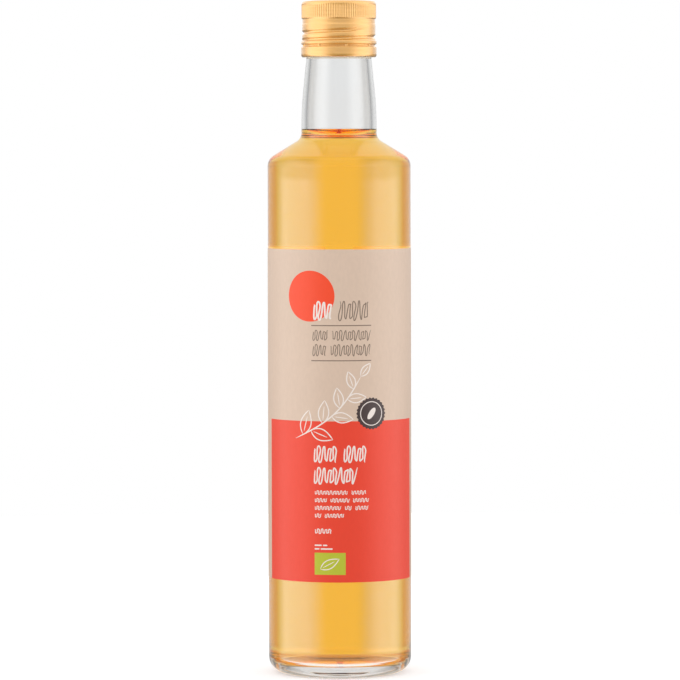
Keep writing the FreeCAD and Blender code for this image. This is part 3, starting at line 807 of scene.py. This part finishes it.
# an upright block of stripes; widths and gaps count the extra steps over the thinnest
stripeBlock = {
    "left": -80.0, "low": 66.0, "high": 86.0, "margin": 2.0, "field": (62.0, 88.0),
    "thinnest": 0.3, "widthStep": 0.28, "narrowest": 0.36, "gapStep": 0.2,
    "widths": (1, 0, 2, 0, 1, 3, 0, 1, 0, 2, 1, 0, 3, 0, 1, 2, 0, 1, 1, 0, 2, 0, 3, 1, 0, 1),
    "gaps": (0, 1, 0, 2, 0, 1, 1, 0, 2, 0, 0, 1, 0, 2, 1, 0, 1, 0, 2, 0, 1, 0, 0, 1, 2, 0),
}


def stripePatches():
    # stripes of uneven width side by side, and the white field that they stand on
    part = stripeBlock
    widths = part["thinnest"] + part["widthStep"] * np.array(part["widths"])
    gaps = part["narrowest"] + part["gapStep"] * np.array(part["gaps"])
    start = part["left"] + np.concatenate([[0], np.cumsum(widths + gaps)[:-1]])
    end = start[-1] + widths[-1] + part["margin"]
    stripes = [fieldPatch(a, a + w, part["low"], part["high"]) for a, w in zip(start, widths)]
    return stripes, fieldPatch(part["left"] - part["margin"], end, *part["field"])


def makeLabel():
    # the paper and, layer on layer, what is printed on it
    makeLabelSheet(makePaperMaterial("beigePaper"))
    coral, orange, white, grey, brown, green = [makePaperMaterial(name) for name in list(inks)[1:]]
    seal = layout["seal"][0]
    makeInk("labelField", [fieldPatch(*layout["field"])], 1, coral)
    makeInk("labelDisc", [discPatch(*layout["disc"])], 1, orange)
    makeInk("labelSeal", [discPatch(*layout["seal"], *layout["sealLobes"])], 3, brown)
    makeInk("labelGreen", [fieldPatch(*layout["greenField"])], 2, green)
    lines, rules = backPatches()
    stripes, stripeField = stripePatches()
    makeInk("labelGrey", [barPatch(*rule, layout["ruleRound"]) for rule in layout["rules"]]
            + [scribblePatch(*word) for word in layout["greyWords"]] + lines + rules, 1, grey)
    makeInk("labelStripeField", [stripeField], 1, white)
    makeInk("labelStripes", stripes, 2, brown)
    whiteWords = [layout["discWord"]] + layout["headWords"] + layout["smallWords"]
    makeInk("labelWhite", [scribblePatch(*word) for word in whiteWords]
            + [barPatch(*bar) for bar in layout["tinyBars"]] + sprigPatches(), 2, white)
    radius, squash, tilt = layout["sealMark"]
    makeInk("labelSealMark", [ringPatch(seal, *layout["sealRing"]),
                              discPatch(seal, radius, squash=squash, tilt=tilt)], 4, white)
    makeInk("labelGreenMark", leafStrokes(*layout["greenLeaf"]), 3, white)


makeBottle(makeGlassMaterial())
makeVinegar(makeVinegarMaterial())
makeCap(makeCapMaterial())
makeLabel()


# what the surroundings give: levels where 1 is white, azimuths in degrees from straight towards the camera,
# and the upward part of a direction for what changes with height
studio = {
    "fill": 0.80, "fillPanel": 0.75, "panelTop": (0.55, 0.85),
    "leftPanel": (40, 112), "leftEdges": (20, 11),
    "rightPanel": (50, 114), "rightEdges": (22, 13), "rightShare": 0.92,
    # sharp gloss on glass
    "front": 0.30, "back": 0.82, "backFrom": (122, 162), "panel": 1.85, "panelAbove": 1.15,
    "bodyTop": (-0.006, 0.001), "inner": (0.95, 0.70, 0.48),
    # satin gloss, on the paper and on the cap
    "satinFront": (0.30, 1.28), "satinPanel": (1.9, 0.56), "capFrom": (-0.03, 0.05),
    # seen through the full bottle and through empty glass
    "backdrop": (1.08, 1.08, 1.07), "besides": 0.79, "middle": (5, 13),
    "flag": (0.84, 0.61, 0.50), "flagSpan": (38, 92), "flagEdge": 4,
    "emptyBackdrop": (0.84, 0.84, 0.85), "emptyBesides": (0.55, 0.54, 0.535), "emptyMiddle": (2, 14),
    "table": (1.0, 0.98, 0.94), "tableFrom": (-0.16, -0.26),
    # surfaces: the most a ray may meet, those of empty glass, and those from which a ray counts as deep and
    # meets one warm level in place of its true end
    "bounces": 32, "emptySurfaces": 4.5, "deepFrom": 11.5, "deep": (0.48, 0.29, 0.18),
}


def makeWorld():
    # surroundings for each kind of ray. Light on the object: an even fill with a wide bright panel each side.
    # Sharp gloss on glass: the panels, a dim front and a back. Satin gloss: the same, with a level for the
    # paper and one for the cap above it. Seen straight through the full bottle: a white backdrop, darker
    # beside its middle, with a flag each side that draws the edges; through empty glass, which takes fewer
    # surfaces, a grey one. After many surfaces: one warm level
    world = bpy.data.worlds.new("studioWorld")
    bpy.context.scene.world = world
    world.use_nodes = True
    nodes, links = world.node_tree.nodes, world.node_tree.links
    background = nodes["Background"]
    place = nodes.new("ShaderNodeTexCoord")
    split = nodes.new("ShaderNodeSeparateXYZ")
    links.new(place.outputs["Generated"], split.inputs[0])
    path = nodes.new("ShaderNodeLightPath")

    def calc(operation, *values):
        return addMath(nodes, links, operation, *values)

    def ramp(source, low, high, fromValue=0.0, toValue=1.0):
        # a smooth step between two values
        node = nodes.new("ShaderNodeMapRange")
        node.interpolation_type = "SMOOTHSTEP"
        node.inputs["From Min"].default_value = low
        node.inputs["From Max"].default_value = high
        node.inputs["To Min"].default_value = fromValue
        node.inputs["To Max"].default_value = toValue
        links.new(source, node.inputs["Value"])
        return node.outputs["Result"]

    def span(source, low, high, lowEdge, highEdge):
        # 1 between low and high, with soft edges
        rise = ramp(source, low - lowEdge, low + lowEdge)
        return calc("MULTIPLY", rise, ramp(source, high - highEdge, high + highEdge, 1.0, 0.0))

    def blend(factor, first, second):
        # first (1 - factor) + second factor, each a colour or a source
        node = nodes.new("ShaderNodeMix")
        node.data_type = "RGBA"
        links.new(factor, node.inputs[0])
        for socket, value in zip(node.inputs[6:8], (first, second)):
            if isinstance(value, tuple):
                socket.default_value = (*value, 1)
            else:
                links.new(value, socket)
        return node.outputs[2]

    around = calc("ARCTAN2", split.outputs[0], calc("MULTIPLY", split.outputs[1], -1.0))
    around = calc("MULTIPLY", around, math.degrees(1))
    up = split.outputs[2]
    left = span(calc("MULTIPLY", around, -1.0), *studio["leftPanel"], *studio["leftEdges"])
    right = calc("MULTIPLY", span(around, *studio["rightPanel"], *studio["rightEdges"]), studio["rightShare"])
    panel = calc("ADD", left, right)
    panel = calc("MULTIPLY", panel, ramp(up, *studio["panelTop"], 1.0, 0.0))
    light = calc("ADD", studio["fill"], calc("MULTIPLY", panel, studio["fillPanel"]))
    aside = calc("ABSOLUTE", around)
    sharp = calc("MULTIPLY", panel, ramp(up, *studio["bodyTop"], studio["panel"], studio["panelAbove"]))
    sharp = calc("ADD", sharp, ramp(aside, *studio["backFrom"], studio["front"], studio["back"]))
    satin = calc("MULTIPLY", panel, ramp(up, *studio["capFrom"], *studio["satinPanel"]))
    satin = calc("ADD", satin, ramp(up, *studio["capFrom"], *studio["satinFront"]))
    full = calc("GREATER_THAN", path.outputs["Transmission Depth"], studio["emptySurfaces"])
    table = ramp(up, *studio["tableFrom"])
    sharp = blend(table, blend(full, sharp, studio["inner"]), studio["table"])
    gloss = blend(path.outputs["Is Singular Ray"], satin, sharp)
    fromBack = calc("MINIMUM", aside, calc("SUBTRACT", 180, aside))
    flag = span(fromBack, *studio["flagSpan"], studio["flagEdge"], studio["flagEdge"])
    besides = tuple(level * studio["besides"] for level in studio["backdrop"])
    plate = blend(ramp(fromBack, *studio["middle"]), studio["backdrop"], besides)
    emptyBeside = ramp(fromBack, *studio["emptyMiddle"])
    emptyPlate = blend(emptyBeside, studio["emptyBackdrop"], studio["emptyBesides"])
    through = blend(table, blend(full, emptyPlate, blend(flag, plate, studio["flag"])), studio["table"])
    reflected = calc("MULTIPLY", calc("GREATER_THAN", path.outputs["Glossy Depth"], 0.5),
                     calc("SUBTRACT", 1.0, path.outputs["Is Diffuse Ray"]))
    shade = blend(path.outputs["Is Transmission Ray"], light, through)
    shade = blend(reflected, shade, gloss)
    deep = calc("GREATER_THAN", path.outputs["Ray Depth"], studio["deepFrom"])
    shade = blend(deep, shade, studio["deep"])
    shade = blend(path.outputs["Is Camera Ray"], shade, (1.0, 1.0, 1.0))
    links.new(shade, background.inputs["Color"])
    print("studio surroundings made")


floorLook = {"radius": 0.8, "sides": 64, "drop": 0.0001, "albedo": 0.78, "roughness": 0.9, "glow": 0.46}


def makeFloor():
    # a round pale floor with the soft shadow at the foot; its glow is only for rays that see it
    look, sides = floorLook, floorLook["sides"]
    turn = 2 * np.pi * np.arange(sides) / sides
    radius, height = look["radius"], -look["drop"]
    points = np.stack([radius * np.cos(turn), radius * np.sin(turn), height + 0 * turn], 1)
    mesh = bpy.data.meshes.new("floor")
    mesh.from_pydata(points.tolist(), [], [list(range(sides))])
    floor = bpy.data.objects.new("floor", mesh)
    bpy.context.scene.collection.objects.link(floor)
    floor.visible_transmission = False
    floor.visible_glossy = False
    material, nodes, links, shader = newMaterial("paleFloor")
    shader.inputs["Base Color"].default_value = (*[look["albedo"]] * 3, 1)
    shader.inputs["Roughness"].default_value = look["roughness"]
    shader.inputs["Specular IOR Level"].default_value = 0.0
    shader.inputs["Emission Color"].default_value = (1, 1, 1, 1)
    path = nodes.new("ShaderNodeLightPath")
    seen = path.outputs["Is Camera Ray"]
    for kind in ("Is Transmission Ray", "Is Glossy Ray"):
        seen = addMath(nodes, links, "MAXIMUM", seen, path.outputs[kind])
    links.new(addMath(nodes, links, "MULTIPLY", seen, look["glow"]), shader.inputs["Emission Strength"])
    mesh.materials.append(material)
    print("floor laid")


# metres, degrees and millimetres of lens; the camera stands at nearly four fifths of the bottle's height
view = {"distance": 1.850, "height": 0.2225, "down": 2.544, "aside": 0.0004, "roll": 0.12, "lens": 232.4}


def makeCamera():
    # a long lens in front of the bottle, tipped a little down
    data = bpy.data.cameras.new("camera")
    data.lens = view["lens"]
    camera = bpy.data.objects.new("camera", data)
    camera.location = (view["aside"], -view["distance"], view["height"])
    camera.rotation_mode = "XYZ"
    camera.rotation_euler = (math.radians(90 - view["down"]), math.radians(view["roll"]), 0)
    bpy.context.scene.collection.objects.link(camera)
    bpy.context.scene.camera = camera
    print("camera", view["distance"], "m in front")


makeWorld()
makeFloor()
makeCamera()
bpy.context.scene.view_settings.view_transform = "Standard"
# light meets many surfaces inside glass and liquid
bpy.context.scene.cycles.max_bounces = studio["bounces"]
bpy.context.scene.cycles.transmission_bounces = studio["bounces"]

bpy.context.view_layer.update()
